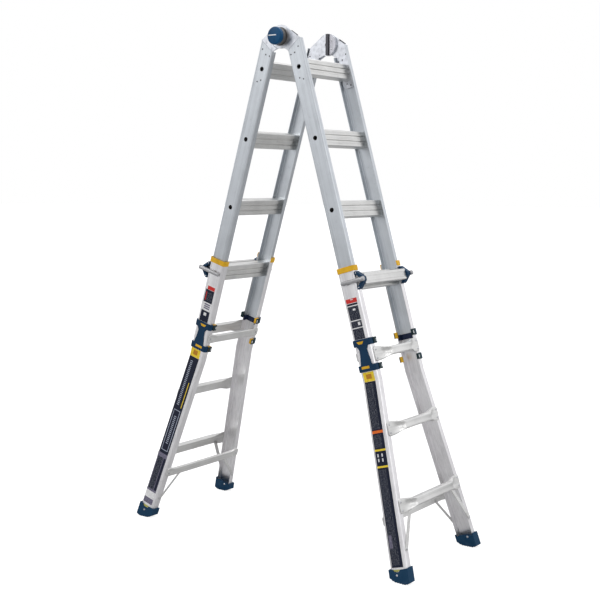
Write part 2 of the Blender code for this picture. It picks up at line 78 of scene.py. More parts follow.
class Finish:
    """A procedural material in the making. Most methods add a node and return the socket it fills."""

    def __init__(self, name, roughness=0.5, metallic=0.0, **constants):
        self.material = bpy.data.materials.new(name)
        self.material.use_nodes = True
        self.nodes = self.material.node_tree.nodes
        self.links = self.material.node_tree.links
        self.shader = self.nodes["Principled BSDF"]
        self.shader.inputs["Roughness"].default_value = roughness
        self.shader.inputs["Metallic"].default_value = metallic
        for label, value in constants.items():
            self.shader.inputs[label.replace("_", " ")].default_value = value
        self.place = self.add("ShaderNodeTexCoord").outputs["Object"]

    def add(self, kind, **settings):
        made = self.nodes.new(kind)
        for label, value in settings.items():
            setattr(made, label, value)
        return made

    def feed(self, socket, value):
        if isinstance(value, bpy.types.NodeSocket):
            self.links.new(value, socket)
        else:
            socket.default_value = value

    def math(self, operation, first, second=0.0, third=0.0):
        made = self.add("ShaderNodeMath", operation=operation)
        for socket, value in zip(made.inputs, (first, second, third)):
            self.feed(socket, value)
        return made.outputs[0]

    def stretch(self, place, scale):
        made = self.add("ShaderNodeVectorMath", operation="MULTIPLY")
        self.feed(made.inputs[0], place)
        made.inputs[1].default_value = scale
        return made.outputs[0]

    def noise(self, place, scale=1.0, detail=3.0, roughness=0.55):
        made = self.add("ShaderNodeTexNoise")
        self.feed(made.inputs["Vector"], place)
        made.inputs["Scale"].default_value = scale
        made.inputs["Detail"].default_value = detail
        made.inputs["Roughness"].default_value = roughness
        return made.outputs[0]

    def ramp(self, value, *stops):
        """A colour ramp through (position, colour) stops."""
        made = self.add("ShaderNodeValToRGB")
        band = made.color_ramp
        while len(band.elements) < len(stops):
            band.elements.new(0.5)
        for element, (position, colour) in zip(band.elements, stops):
            element.position = position
            element.color = (*colour, 1.0)
        self.feed(made.inputs[0], value)
        return made.outputs[0]

    def span(self, value, low, high, start=0.3, end=0.7):
        """Maps a value between start and end to low and high."""
        made = self.add("ShaderNodeMapRange")
        for socket, number in zip(made.inputs[1:5], (start, end, low, high)):
            socket.default_value = number
        self.feed(made.inputs[0], value)
        return made.outputs[0]

    def mix(self, share, first, second):
        made = self.add("ShaderNodeMix", data_type="RGBA")
        self.feed(made.inputs[0], share)
        for socket, value in zip(made.inputs[6:8], (first, second)):
            self.feed(socket, value if isinstance(value, bpy.types.NodeSocket) else (*value, 1.0))
        return made.outputs[2]

    def rail_space(self):
        """The rest place as (n, y, s), alike for both halves."""
        parts = self.add("ShaderNodeSeparateXYZ")
        self.links.new(self.place, parts.inputs[0])
        out = self.math("ABSOLUTE", parts.outputs[0])
        up = self.math("SUBTRACT", parts.outputs[2], HINGE_Z)
        n = self.math("ADD", self.math("MULTIPLY", out, COS), self.math("MULTIPLY", up, SIN))
        s = self.math("SUBTRACT", self.math("MULTIPLY", out, SIN), self.math("MULTIPLY", up, COS))
        made = self.add("ShaderNodeCombineXYZ")
        for socket, value in zip(made.inputs, (n, parts.outputs[1], s)):
            self.links.new(value, socket)
        return made.outputs[0]

    def finish(self, colour=None, roughness=None, height=None, strength=0.3, depth=0.0005):
        """Connects what was made to the shader, with a bump where a height is given."""
        if colour is not None:
            self.feed(self.shader.inputs["Base Color"], colour)
        if roughness is not None:
            self.feed(self.shader.inputs["Roughness"], roughness)
        if height is not None:
            bump = self.add("ShaderNodeBump")
            bump.inputs["Strength"].default_value = strength
            bump.inputs["Distance"].default_value = depth
            self.feed(bump.inputs["Height"], height)
            self.links.new(bump.outputs[0], self.shader.inputs["Normal"])
        return self.material


def shade(colour, factor):
    return tuple(min(1.0, part * factor) for part in colour)


def aluminium(name, colour, along, roughness=0.36):
    """Mill-finish extrusion. along is 2 where its die lines run down the rails, and 1 across."""
    made = Finish(name, roughness, 1.0)
    place = made.rail_space()
    fine, broad = [900.0] * 3, [150.0] * 3
    fine[along], broad[along] = 5.0, 1.6
    lines = made.noise(made.stretch(place, fine), 1.0, 2.0)
    streaks = made.noise(made.stretch(place, broad), 1.0, 3.0, 0.65)
    clouds = made.noise(place, 9.0, 4.0, 0.6)
    scuffs = made.noise(made.stretch(place, (60.0, 60.0, 38.0)), 1.0, 5.0, 0.7)
    tone = made.math("ADD", made.math("MULTIPLY", streaks, 0.55), made.math("MULTIPLY", clouds, 0.45))
    base = made.ramp(tone, (0.30, shade(colour, 0.80)), (0.50, colour), (0.70, shade(colour, 1.12)))
    marked = made.mix(made.span(scuffs, 0.0, 0.45, 0.62, 0.74), base, shade(colour, 0.62))
    gloss = made.math("ADD", made.span(streaks, roughness - 0.05, roughness + 0.07),
                      made.span(scuffs, 0.0, 0.14, 0.55, 0.75))
    relief = made.math("ADD", made.math("MULTIPLY", lines, 0.7), made.math("MULTIPLY", streaks, 0.5))
    return made.finish(marked, gloss, relief, 0.22, 0.0004)


def plated(name, colour, roughness=0.32):
    """Zinc plate: a faint spangle, brushed arcs and small dark pits."""
    made = Finish(name, roughness, 1.0)
    spangle = made.noise(made.place, 55.0, 3.0, 0.6)
    grain = made.noise(made.stretch(made.place, (700.0, 700.0, 90.0)), 1.0, 2.0)
    pits = made.noise(made.place, 420.0, 2.0, 0.5)
    base = made.ramp(spangle, (0.32, shade(colour, 0.78)), (0.52, colour), (0.72, shade(colour, 1.15)))
    pitted = made.mix(made.span(pits, 0.0, 0.5, 0.66, 0.76), base, shade(colour, 0.4))
    gloss = made.span(spangle, roughness - 0.06, roughness + 0.10)
    return made.finish(pitted, gloss, grain, 0.15, 0.0003)


def cast_zinc(name, colour):
    made = Finish(name, 0.48, 0.85)
    clouds = made.noise(made.place, 40.0, 4.0, 0.6)
    grit = made.noise(made.place, 900.0, 2.0, 0.6)
    base = made.ramp(clouds, (0.3, shade(colour, 0.75)), (0.7, shade(colour, 1.2)))
    return made.finish(base, made.span(clouds, 0.40, 0.58), grit, 0.3, 0.0003)


def moulded(name, colour, roughness=0.42, grain=1400.0, depth=0.00015):
    """Moulded plastic: a fine spark-eroded grain, faint flow marks and paler rubbed patches."""
    made = Finish(name, roughness, 0.0, Specular_IOR_Level=0.22)
    flow = made.noise(made.stretch(made.place, (30.0, 30.0, 9.0)), 1.0, 3.0)
    rubs = made.noise(made.place, 70.0, 5.0, 0.7)
    texture = made.noise(made.place, grain, 2.0, 0.6)
    base = made.ramp(flow, (0.32, shade(colour, 0.84)), (0.68, shade(colour, 1.16)))
    worn = made.mix(made.span(rubs, 0.0, 0.06, 0.62, 0.80), base, (0.20, 0.28, 0.36))
    return made.finish(worn, made.span(rubs, roughness - 0.06, roughness + 0.12), texture, 0.35, depth)


def rubber(name, colour):
    made = Finish(name, 0.62, 0.0, Specular_IOR_Level=0.22)
    dust = made.noise(made.place, 30.0, 5.0, 0.65)
    pores = made.noise(made.place, 1100.0, 3.0, 0.6)
    base = made.mix(made.span(dust, 0.0, 0.16, 0.50, 0.82), colour, (0.16, 0.20, 0.24))
    return made.finish(base, made.span(dust, 0.52, 0.74), pores, 0.5, 0.0003)


def printed(name, colour, lines=0.0):
    """A satin sticker. lines above 0 adds rows of fine pale dashes, too small to be lettering."""
    made = Finish(name, 0.45, 0.0, Specular_IOR_Level=0.22)
    place = made.rail_space()
    wear = made.noise(place, 120.0, 4.0, 0.6)
    base = made.ramp(wear, (0.35, shade(colour, 0.86)), (0.65, shade(colour, 1.14)))
    if lines:
        rows = made.add("ShaderNodeTexWave", bands_direction="X")
        made.feed(rows.inputs["Vector"], made.stretch(place, (1.0, 0.0, 0.0)))
        rows.inputs["Scale"].default_value = 60.0
        dashes = made.noise(made.stretch(place, (140.0, 0.0, 420.0)), 1.0, 1.0)
        ink = made.math("MULTIPLY", made.span(rows.outputs[1], 0.0, 1.0, 0.55, 0.75),
                        made.span(dashes, 0.0, lines, 0.48, 0.56))
        base = made.mix(ink, base, (0.62, 0.64, 0.68))
    return made.finish(base, made.span(wear, 0.38, 0.52))


FINISHES = {
    "rail": aluminium("rail_aluminium", (0.615, 0.648, 0.678), 2),
    "outer_rail": aluminium("outer_rail_aluminium", (0.90, 0.89, 0.90), 2, 0.33),
    "rung": aluminium("rung_aluminium", (0.76, 0.76, 0.745), 1, 0.40),
    "steel": plated("zinc_plated_steel", (0.72, 0.74, 0.78)),
    "rivet": plated("rivet_steel", (0.60, 0.61, 0.63), 0.28),
    "dark_steel": plated("oxided_steel", (0.10, 0.10, 0.11), 0.45),
    "zinc": cast_zinc("cast_zinc", (0.17, 0.165, 0.16)),
    "lever": cast_zinc("lever_zinc", (0.46, 0.46, 0.47)),
    "navy": moulded("navy_moulding", (0.002, 0.034, 0.085)),
    "knob": moulded("knob_moulding", (0.001, 0.066, 0.170), 0.30),
    "amber": moulded("amber_moulding", (0.78, 0.44, 0.020), 0.40),
    "rubber": rubber("navy_rubber", (0.002, 0.040, 0.095)),
    "mark": printed("pale_mark", (0.80, 0.82, 0.84)),
    "label_dark": printed("label_navy", (0.006, 0.010, 0.028)),
    "label_lined": printed("label_navy_lined", (0.007, 0.011, 0.028), 0.30),
    "label_violet": printed("label_violet", (0.13, 0.12, 0.18), 0.35),
    "label_white": printed("label_white", (0.78, 0.78, 0.78)),
    "label_yellow": printed("label_yellow", (0.85, 0.62, 0.04)),
    "label_pale": printed("label_pale", (0.42, 0.46, 0.55)),
    "label_ochre": printed("label_ochre", (0.50, 0.22, 0.02)),
    "olive": printed("olive_mark", (0.42, 0.42, 0.12)),
    "cover": plated("pressed_cover", (0.56, 0.56, 0.60), 0.40),
    "boot": moulded("boot_moulding", (0.010, 0.018, 0.050)),
    "clip": moulded("clip_moulding", (0.010, 0.030, 0.035)),
    "label_orange": printed("label_orange", (0.80, 0.16, 0.02)),
    "label_red": printed("label_red", (0.62, 0.035, 0.03)),
}


# Mesh tools

def flare(s):
    return max(0.0, s - BEND) * FLARE


def spot(half, side, n, y, s):
    """The world place of a point in rail space. half and side are signs."""
    x = RAIL_N + n
    return Vector((half * (x * COS + s * SIN), side * y, HINGE_Z + x * SIN - s * COS))


def aim(half, side, n, y, s):
    """A direction in rail space, turned to the world."""
    return Vector((half * (n * COS + s * SIN), side * y, n * SIN - s * COS)).normalized()


def arc(centre, radius, first, last, steps):
    """Points round a centre. An angle of 0 points along the second coordinate, 90 along the first."""
    angles = [math.radians(first + (last - first) * i / steps) for i in range(steps + 1)]
    return [(centre[0] + radius * math.sin(a), centre[1] + radius * math.cos(a)) for a in angles]


def circle(centre, radius, steps):
    return arc(centre, radius, 0, 360 - 360 / steps, steps - 1)


def skin(bm, rings):
    loops = [[bm.verts.new(point) for point in ring] for ring in rings]
    for low, high in zip(loops, loops[1:]):
        for i in range(len(low)):
            j = (i + 1) % len(low)
            bm.faces.new((low[i], low[j], high[j], high[i]))
    return loops


def loft(bm, rings):
    """A closed solid through rings of equal length."""
    loops = skin(bm, rings)
    bm.faces.new(loops[0])
    bm.faces.new(loops[-1])


def hollow_loft(bm, outer, inner):
    """A tube with open ends, between two sets of rings of equal length."""
    outside, inside = skin(bm, outer), skin(bm, inner)
    for end in (0, -1):
        for i in range(len(outside[end])):
            j = (i + 1) % len(outside[end])
            bm.faces.new((outside[end][i], outside[end][j], inside[end][j], inside[end][i]))


def slab(bm, half, side, outline, low, high):
    """An outline of (n, s) points, drawn out across the ladder from low to high."""
    loft(bm, [[spot(half, side, n, y, s) for n, s in outline] for y in (low, high)])


def dome(bm, centre, direction, radius, height, steps=14):
    """A rivet's head: a low dome on a short shank."""
    out = direction.normalized()
    first = out.orthogonal().normalized()
    second = out.cross(first)
    levels = [(-0.002, 1.0), (0.15 * height, 1.0), (0.55 * height, 0.86),
              (0.85 * height, 0.55), (height, 0.18)]
    rings = []
    for lift, share in levels:
        turns = [2 * math.pi * i / steps for i in range(steps)]
        rings.append([
            centre + out * lift + (first * math.cos(a) + second * math.sin(a)) * radius * share for a in turns
        ])
    loft(bm, rings)


def piece(name, bm, body, finish, bevel=0.0, smooth=35.0, segments=2):
    """Makes a piece from a bmesh in world space, and sets it on its body."""
    bmesh.ops.recalc_face_normals(bm, faces=bm.faces)
    mesh = bpy.data.meshes.new(name)
    bm.to_mesh(mesh)
    bm.free()
    mesh.shade_smooth()
    mesh.set_sharp_from_angle(angle=math.radians(smooth))
    mesh.materials.append(FINISHES[finish])
    made = bpy.data.objects.new(name, mesh)
    bpy.context.scene.collection.objects.link(made)
    if bevel:
        soften(made, bevel, segments)
    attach(made, body)
    return made


def soften(made, width, segments=2):
    change = made.modifiers.new("soft edges", "BEVEL")
    change.width = width
    change.segments = segments
    change.limit_method = "ANGLE"
    change.angle_limit = math.radians(30)
    change.harden_normals = True


def carve(made, cutter_mesh):
    """Cuts a bmesh's shape out of a piece, and applies the cut."""
    bmesh.ops.recalc_face_normals(cutter_mesh, faces=cutter_mesh.faces)
    mesh = bpy.data.meshes.new("cutter")
    cutter_mesh.to_mesh(mesh)
    cutter_mesh.free()
    cutter = bpy.data.objects.new("cutter", mesh)
    bpy.context.scene.collection.objects.link(cutter)
    change = made.modifiers.new("cut", "BOOLEAN")
    change.operation = "DIFFERENCE"
    change.solver = "EXACT"
    change.object = cutter
    bpy.context.view_layer.update()
    graph = bpy.context.evaluated_depsgraph_get()
    carved = bpy.data.meshes.new_from_object(made.evaluated_get(graph))
    made.modifiers.remove(change)
    made.data = carved
    carved.shade_smooth()
    carved.set_sharp_from_angle(angle=math.radians(35))
    bpy.data.objects.remove(cutter)


# Rails

def grooved(start, end, inward, places):
    """A straight run of a section from start to end, with a groove at each distance in places."""
    (x0, y0), (x1, y1) = start, end
    length = math.hypot(x1 - x0, y1 - y0)
    dx, dy = (x1 - x0) / length, (y1 - y0) / length
    width, depth = GROOVE
    points = [start]
    for place in places:
        for along, down in ((-0.5, 0), (-0.25, 1), (0.25, 1), (0.5, 0)):
            t = place + along * width
            points.append((x0 + dx * t + inward[0] * depth * down, y0 + dy * t + inward[1] * depth * down))
    return points + [end]


def rail_section(half_depth, web, flange, wall, corner, web_grooves, flange_grooves):
    """The closed outline of a C channel as (n, y) points, its flanges pointing inwards."""
    edge, inner = web - flange, max(corner - wall, 0.001)
    flat_n, flat_y = half_depth - corner, web - corner
    run = flat_y - edge
    outline = grooved((-half_depth, edge), (-half_depth, flat_y), (1, 0), flange_grooves)
    outline += arc((-flat_n, flat_y), corner, -90, 0, 6)[1:-1]
    outline += grooved((-flat_n, web), (flat_n, web), (0, -1), web_grooves)
    outline += arc((flat_n, flat_y), corner, 0, 90, 6)[1:-1]
    outline += grooved((half_depth, flat_y), (half_depth, edge), (-1, 0),
                       [run - g for g in reversed(flange_grooves)])
    deep, back = half_depth - wall, web - wall
    outline += [(deep, edge)]
    outline += arc((deep - inner, back - inner), inner, 90, 0, 4)
    outline += arc((inner - deep, back - inner), inner, 0, -90, 4)
    return outline + [(-deep, edge)]


def inner_top(n):
    """The inner rails' slanting top, high at the climbing side."""
    depth = INNER["half_depth"]
    return 0.036 + (depth - n) / (2 * depth) * 0.034


def lock_holes(half, side, web, levels, radius):
    bm = bmesh.new()
    for s in levels:
        slab(bm, half, side, circle((0.0, s), radius, 24), web - 0.008, web + 0.004)
    return bm


def inner_rail(tag, where):
    half, side = HALVES[tag], SIDES[where]
    section = rail_section(**INNER, web_grooves=(0.0035, 0.0565), flange_grooves=(0.0125,))
    bm = bmesh.new()
    loft(bm, [
        [spot(half, side, n, y, inner_top(n)) for n, y in section],
        [spot(half, side, n, y, 1.330) for n, y in section],
    ])
    made = piece(f"inner_{tag}_rail_{where}_extrusion", bm, f"inner_{tag}", "rail")
    levels = [FIRST_RUNG + i * RUNG_PITCH for i in range(4)]
    carve(made, lock_holes(half, side, INNER["web"], levels, 0.010))
    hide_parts(f"inner_{tag}_rail_{where}")


def outer_rail(tag, where):
    half, side = HALVES[tag], SIDES[where]
    section = rail_section(**OUTER, web_grooves=(0.0045, 0.0589), flange_grooves=(0.0085, 0.0175))
    bm = bmesh.new()
    loft(bm, [[spot(half, side, n, y + flare(s), s) for n, y in section] for s in (1.0035, BEND, OUTER_END)])
    made = piece(f"outer_{tag}_rail_{where}_extrusion", bm, f"outer_{tag}", "outer_rail")
    carve(made, lock_holes(half, side, OUTER["web"], [LOCK_LEVEL], 0.0105))
    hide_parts(f"outer_{tag}_rail_{where}")


def rail_boot(tag, where):
    """The plastic shoe on an inner rail's lower end, which runs inside the outer rail."""
    half, side = HALVES[tag], SIDES[where]
    outline = rail_section(0.0369, 0.1782, 0.0262, 0.0062, 0.0055, (), ())
    bm = bmesh.new()
    loft(bm, [[spot(half, side, n, y, s) for n, y in outline] for s in (1.314, 1.338)])
    piece(f"inner_{tag}_boot_{where}", bm, f"inner_{tag}", "boot", 0.0008)


# Rungs and bars

def ribbed_face():
    """Half a rung's outline as (n, s) points: three serrated bands with two deep grooves between them."""
    high, deep, low = 0.035, 0.017, 0.0118
    points = [(n, s) for n, s in arc((deep - 0.004, high - 0.004), 0.004, 0, 90, 4)]
    for top, bottom in ((0.0300, 0.0145), (0.0082, -0.0082), (-0.0145, -0.0300)):
        steps = 5
        for i in range(steps):
            a = top + (bottom - top) * i / steps
            b = top + (bottom - top) * (i + 0.62) / steps
            points += [(deep, a), (deep, b), (deep - 0.0007, b - 0.0003),
                       (deep - 0.0007, a + (bottom - top) / steps + 0.0003)]
        points[-2:] = [(deep, bottom)]
        if bottom > -0.030:
            points += [(low, bottom - 0.0012), (low, bottom - 0.0050)]
    points += [(n, s) for n, s in arc((deep - 0.004, 0.004 - high), 0.004, 90, 180, 4)]
    return points


def inner_rung(tag, number, half_length):
    half = HALVES[tag]
    level = FIRST_RUNG + (number - 1) * RUNG_PITCH
    face = ribbed_face()
    outline = face + [(-n, -s) for n, s in face]
    rings = []
    for deep, high in ((1.0, 1.0), (0.72, 0.93)):
        rings.append([[spot(half, 1, n * deep, y, level + s * high) for n, s in outline]
                      for y in (-half_length, half_length)])
    bm = bmesh.new()
    hollow_loft(bm, *rings)
    made = piece(f"inner_{tag}_tread_{number}", bm, f"inner_{tag}", "rung")
    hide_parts(f"inner_{tag}_rung_{number}")


def pressed_ring(half, level, y, height, depth, dip, base, sign=1, power=7.0):
    """A tube's section with a flat back on the flanges. dip sinks the middle of its outer face."""
    points = []
    steps = 18
    for i in range(steps + 1):
        a = -math.cos(math.pi * i / steps)
        bulge = (1 - abs(a) ** power) ** (1 / power)
        sunk = dip * (1 - (abs(a) / 0.8) ** 2) if abs(a) < 0.8 else 0.0
        n = base + max(0.0012, depth * bulge * (1 - sunk)) * (0 < i < steps)
        points.append(spot(half, 1, sign * n, y, level + a * height / 2))
    return points


def ease(t):
    t = min(1.0, max(0.0, t))
    return t * t * (3 - 2 * t)


def pressed_bar(name, tag, level, end, tube, flat, base, sign=1, dip=0.62, run=(0.030, 0.100)):
    """A tube whose ends are pressed flat and wide, with a dimple where the tube starts."""
    insets = [0.0, 0.0025, 0.006, 0.012, run[0]]
    insets += [run[0] + (run[1] - run[0]) * i / 9 for i in range(1, 10)]
    stations = []
    for inset in insets:
        t = ease((inset - run[0]) / (run[1] - run[0]))
        corner = 0.012 * (1 - min(1.0, inset / 0.012)) ** 2
        height = flat[0] + (tube[0] - flat[0]) * t - corner
        depth = flat[1] + (tube[1] - flat[1]) * t
        sunk = dip * math.sin(math.pi * min(1.0, max(0.0, t))) ** 0.7 if 0 < t < 1 else 0.0
        stations.append((inset - end, height, depth, sunk))
    stations += [(-y, *rest) for y, *rest in reversed(stations)]
    bm = bmesh.new()
    loft(bm, [pressed_ring(HALVES[tag], level, y, h, d, dip_here, base, sign)
              for y, h, d, dip_here in stations])
    return piece(name, bm, f"outer_{tag}", "rung", 0.0, 32.0)


def front_rung(tag, number):
    level = FIRST_RUNG + (3 + number) * RUNG_PITCH
    end = OUTER["web"] + flare(level) - 0.010
    made = pressed_bar(f"outer_{tag}_front_tread_{number}", tag, level, end, (0.037, 0.030), (0.060, 0.0045),
                       OUTER["half_depth"] + GAP)
    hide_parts(f"outer_{tag}_front_rung_{number}")
    rivets(f"outer_{tag}_front_rivets_{number}", f"outer_{tag}", [
        (spot(HALVES[tag], side, 0.0447, end - 0.012, level + up), aim(HALVES[tag], side, 1, 0, 0))
        for side in SIDES.values() for up in (-0.017, 0.017)
    ], 0.0048, 0.0022)


def back_bar(tag, where, level):
    end = OUTER["web"] + flare(level) - 0.006
    made = pressed_bar(f"outer_{tag}_back_strut_{where}", tag, level, end, (0.036, 0.011), (0.042, 0.0060),
                       OUTER["half_depth"] + GAP, -1, 0.3, (0.022, 0.050))
    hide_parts(f"outer_{tag}_back_bar_{where}")
    rivets(f"outer_{tag}_back_rivets_{where}", f"outer_{tag}", [
        (spot(HALVES[tag], side, -0.0458, end - 0.013, level), aim(HALVES[tag], side, -1, 0, 0))
        for side in SIDES.values()
    ], 0.0055, 0.0025)


def top_bar(tag):
    """The locking rung's rail, a box section with two shallow grooves in its face."""
    half = HALVES[tag]
    low, high, tall = 0.048, 0.070, 0.023
    face = arc((high - 0.004, tall - 0.004), 0.004, 0, 90, 4)
    face += grooved((high, tall - 0.004), (high, 0.004 - tall), (-1, 0), (0.009, 0.029))
    face += arc((high - 0.004, 0.004 - tall), 0.004, 90, 180, 4)
    outline = face + [(low, -tall), (low, tall)]
    bm = bmesh.new()
    loft(bm, [[spot(half, 1, n, y, LOCK_LEVEL + s) for n, s in outline] for y in (-0.1577, 0.1577)])
    made = piece(f"outer_{tag}_lock_rung", bm, f"outer_{tag}", "rung")
    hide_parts(f"outer_{tag}_top_bar")


def rivets(name, body, places, radius, height, finish="rivet"):
    bm = bmesh.new()
    for centre, direction in places:
        dome(bm, centre, direction, radius, height)
    return piece(name, bm, body, finish, 0.0, 50.0)


def strap(bm, half, side, start, end, width, low, high):
    """A flat bar with round ends between two (y, s) points, from n = low to n = high."""
    (y0, s0), (y1, s1) = start, end
    turn = math.degrees(math.atan2(y1 - y0, s1 - s0))
    outline = arc(end, width / 2, turn - 90, turn + 90, 8) + arc(start, width / 2, turn + 90, turn + 270, 8)
    loft(bm, [[spot(half, side, n, y, s) for y, s in outline] for n in (low, high)])


def brace(tag, where, face, width, start, end):
    half, side, sign = HALVES[tag], SIDES[where], 1 if face == "front" else -1
    base = OUTER["half_depth"] + GAP
    bm = bmesh.new()
    strap(bm, half, side, start, end, width, sign * base, sign * (base + 0.0028))
    name = f"outer_{tag}_brace_{face}_{where}"
    piece(name, bm, f"outer_{tag}", "rung", 0.0005)
    place = spot(half, side, sign * (base + 0.0028), end[0], end[1])
    rivets(f"{name}_rivet", f"outer_{tag}", [(place, aim(half, side, sign, 0, 0))], 0.0045, 0.0022)


def build_rails_and_rungs():
    for tag, where in EACH:
        inner_rail(tag, where)
        outer_rail(tag, where)
        rail_boot(tag, where)
        flange = OUTER["web"] - 0.016
        brace(tag, where, "front", 0.018, (0.166, 1.990), (flange + flare(2.140), 2.140))
        brace(tag, where, "back", 0.012, (0.152, 2.036), (flange + flare(2.158), 2.158))
    for tag in HALVES:
        for number in range(1, 5):
            plates = 0.1692 if tag == "right" else 0.1609
            web = INNER["web"] - INNER["wall"]
            inner_rung(tag, number, (plates if number == 1 else web) - GAP)
        for number in range(1, 4):
            front_rung(tag, number)
        back_bar(tag, "upper", FIRST_RUNG + 4 * RUNG_PITCH)
        back_bar(tag, "lower", 2.027)
        top_bar(tag)


# Hinges

def turned(bm, side, profile, steps):
    """Turns a closed (radius, y) profile about the hinge axis."""
    rings = []
    for i in range(steps):
        a = 2 * math.pi * i / steps
        rings.append([Vector((r * math.sin(a), side * y, HINGE_Z + r * math.cos(a))) for r, y in profile])
    loops = skin(bm, rings + [rings[0]])
    bmesh.ops.remove_doubles(bm, verts=loops[0] + loops[-1], dist=1e-6)


def knob(where):
    """The push cap: a domed face, a round shoulder, and a skirt over the spring housing."""
    side = SIDES[where]
    low, out, radius = 0.2025, 0.2215, 0.0365
    shoulder = arc((radius - 0.0065, out - 0.0080), 0.0065, 90, 0, 8)
    face = [(0.020, out - 0.0006), (0.010, out - 0.0002), (0.0004, out)]
    inside = [(0.0004, out - 0.0060), (radius - 0.0015, out - 0.0085), (radius - 0.0015, low)]
    skirt = [(radius, low), (radius, low + 0.0030), (radius - 0.0004, low + 0.0035)]
    profile = skirt + shoulder + face + inside
    bm = bmesh.new()
    turned(bm, side, profile, 64)
    made = piece(f"knob_cap_{where}", bm, f"knob_{where}", "knob")
    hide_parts(f"hinge_knob_{where}")
    # A raised bar across the knob's face, coloured pale as a painted highlight where a light strip crosses
    # the knob.
    bar = bmesh.new()
    corners = arc((0.0110, 0.0), 0.0022, 0, 180, 6) + arc((-0.0250, 0.0), 0.0022, 180, 360, 6)
    loft(bar, [[Vector((x, side * y, HINGE_Z + z + 0.0020)) for x, z in corners]
               for y in (out - 0.004, out + 0.0004)])
    piece(f"knob_highlight_bar_{where}", bar, f"knob_{where}", "mark")


def housing_collar(where):
    """A flange where the housing meets the rail, and a dark seam just behind the knob."""
    side = SIDES[where]
    for name, low, high, out, finish in (
        ("flange", 0.1775, 0.1800, 0.0380, "zinc"),
        ("band", 0.1985, 0.2010, 0.0347, "dark_steel"),
    ):
        bm = bmesh.new()
        turned(bm, side, [(0.0342, low), (out, low), (out, high), (0.0342, high)], 48)
        piece(f"housing_{name}_{where}", bm, "inner_right", finish, 0.0004)


def hub_cover(where):
    """The half disc that covers one half of each hub's inner face, beside the upright lock bar."""
    side = SIDES[where]
    radius = 0.046
    first = math.degrees(math.asin(0.0125 / radius))
    outline = arc((0.0, 0.0), radius, first, 180 - first, 20)
    bm = bmesh.new()
    loft(bm, [[Vector((x, side * y, HINGE_Z + z)) for x, z in outline] for y in (0.1588, 0.1607)])
    rivet = bmesh.new()
    for z in (0.016, -0.020):
        dome(rivet, Vector((0.026, side * 0.1588, HINGE_Z + z)), Vector((0, -side, 0)), 0.0040, 0.0014)
    piece(f"hub_cover_{where}", bm, "inner_right", "cover", 0.0004)
    piece(f"hub_cover_rivets_{where}", rivet, "inner_right", "rivet", 0.0, 50.0)


def hinge_rivets(tag, where):
    half, side = HALVES[tag], SIDES[where]
    places = [(-0.0246, 0.090), (-0.004, 0.088), (0.0195, 0.070), (-0.008, 0.196), (0.0096, 0.206)]
    for name, y, out in (("outside", INNER["web"], 1), ("inside", 0.1692 if tag == "right" else 0.1609, -1)):
        rivets(f"hinge_{tag}_rivets_{where}_{name}", f"inner_{tag}", [
            (spot(half, side, n, y, s), Vector((0, side * out, 0))) for n, s in places
        ], 0.0033, 0.0014, "dark_steel")


def hinge_slot(where):
    """A dark strip between the plates along the climbing half's outer edge, painted shade for the shadowed
    slot there.
    """
    side = SIDES[where]
    edge, lift, hub_radius, proud = 0.0355, 0.0012, 0.048, 0.0019
    corner = (RAIL_N + edge, inner_top(edge) - lift)
    reach = math.hypot(*corner)
    angle = math.atan2(corner[1], corner[0]) - math.acos(hub_radius / reach)
    touch = (hub_radius * math.cos(angle), hub_radius * math.sin(angle))
    along = [(c - t) for c, t in zip(corner, touch)]
    length = math.hypot(*along)
    out = (along[1] / length * proud, -along[0] / length * proud)
    line = [(touch[0] + along[0] * share, touch[1] + along[1] * share) for share in (0.43, 0.84)]
    outline = [(x - RAIL_N + out[0] * k, s + out[1] * k)
               for (x, s), k in zip(line + line[::-1], (1, 1, -1, -1))]
    bm = bmesh.new()
    slab(bm, 1, side, outline, 0.1702, 0.1762)
    # The dark steel finish on this strip is painted shade, for the shadow in the slot between the plates.
    piece(f"hinge_slot_shade_{where}", bm, "inner_right", "dark_steel")


def build_hinges():
    for where in SIDES:
        knob(where)
        housing_collar(where)
        hub_cover(where)
        hinge_slot(where)
    for tag, where in EACH:
        hinge_rivets(tag, where)


# Plastic fittings and locks

def fitting(half, side, low, high, wall, web, flange, bm):
    """A C-shaped band round an outer rail."""
    half_depth = OUTER["half_depth"] + GAP + wall
    web_y = OUTER["web"] + GAP + web
    section = rail_section(half_depth, web_y, flange + web + GAP, min(wall, web),
                           OUTER["corner"] + web, (), ())
    thick = OUTER["half_depth"] + GAP
    section = [(math.copysign(min(abs(n), half_depth), n), y) for n, y in section]
    inside_n = half_depth - min(wall, web)
    section = [(n * thick / inside_n if abs(abs(n) - inside_n) < 1e-9 else n, y) for n, y in section]
    loft(bm, [[spot(half, side, n, y + flare(s), s) for n, y in section] for s in (low, high)])


def end_cap(tag, where):
    half, side = HALVES[tag], SIDES[where]
    bm = bmesh.new()
    fitting(half, side, 1.000, 1.0225, 0.0035, 0.0035, 0.030, bm)
    made = piece(f"outer_{tag}_collar_{where}", bm, f"outer_{tag}", "amber", 0.0009)
    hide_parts(f"outer_{tag}_end_cap_{where}")


GUIDE_BANDS = ((1.2995, 1.3275), (1.4055, 1.4325))


def guide(tag, where):
    """Two bands round an outer rail with a tapering waist between them."""
    half, side = HALVES[tag], SIDES[where]
    low = OUTER["web"] + GAP
    bm = bmesh.new()
    for top, bottom in GUIDE_BANDS:
        fitting(half, side, top, bottom, 0.0055, 0.0040, 0.018, bm)
    waist = [(-0.0300, 1.3235), (0.0300, 1.3235), (0.0185, 1.3420), (0.0200, 1.3660), (0.0290, 1.4095),
             (-0.0290, 1.4095), (-0.0200, 1.3660), (-0.0185, 1.3420)]
    slab(bm, half, side, waist, low, low + 0.0032)
    made = piece(f"outer_{tag}_slide_guide_{where}", bm, f"outer_{tag}", "navy", 0.0010)
    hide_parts(f"outer_{tag}_guide_{where}")


